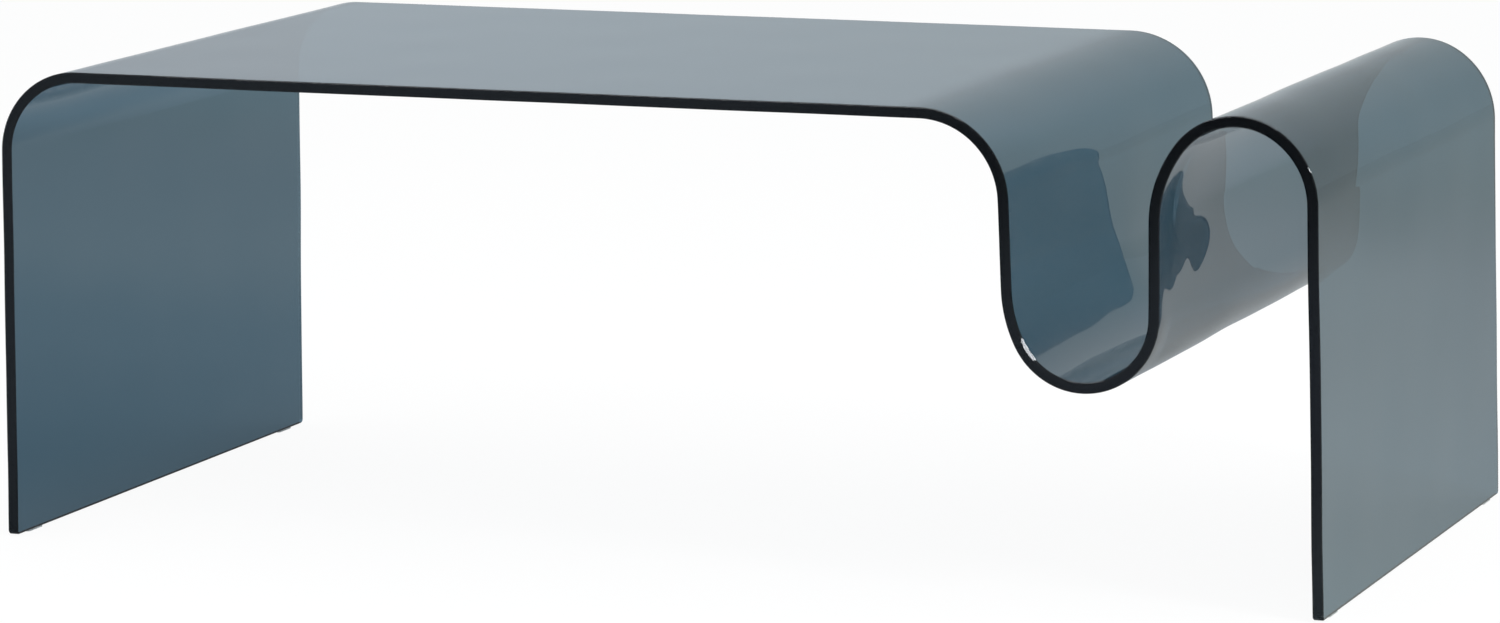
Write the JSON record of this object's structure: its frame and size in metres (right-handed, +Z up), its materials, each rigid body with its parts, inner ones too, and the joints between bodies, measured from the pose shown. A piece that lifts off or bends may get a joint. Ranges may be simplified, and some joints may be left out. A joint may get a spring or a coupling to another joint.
{
  "type": "coffee table",
  "caption": "Waterfall coffee table bent from a single sheet of smoked glass, with a magazine trough beside one leg and clear pads under its feet.",
  "frame": {"origin": "on the floor, under the middle of the table's length and depth", "axes": "+Z up, +X along the table's length towards the magazine trough, Y across its depth, -Y to the front cut edge"},
  "size_m": [1.2, 0.64, 0.4194],
  "materials": {
    "smoked_glass": "polished, with ground and polished edges",
    "clear_pad": "clear soft plastic, satin"
  },
  "bodies": {
    "root": {"bent_glass_sheet": "smoked_glass", "foot_pad_left_front": "clear_pad", "foot_pad_left_back": "clear_pad", "foot_pad_right_front": "clear_pad", "foot_pad_right_back": "clear_pad"}
  },
  "joints": []
}
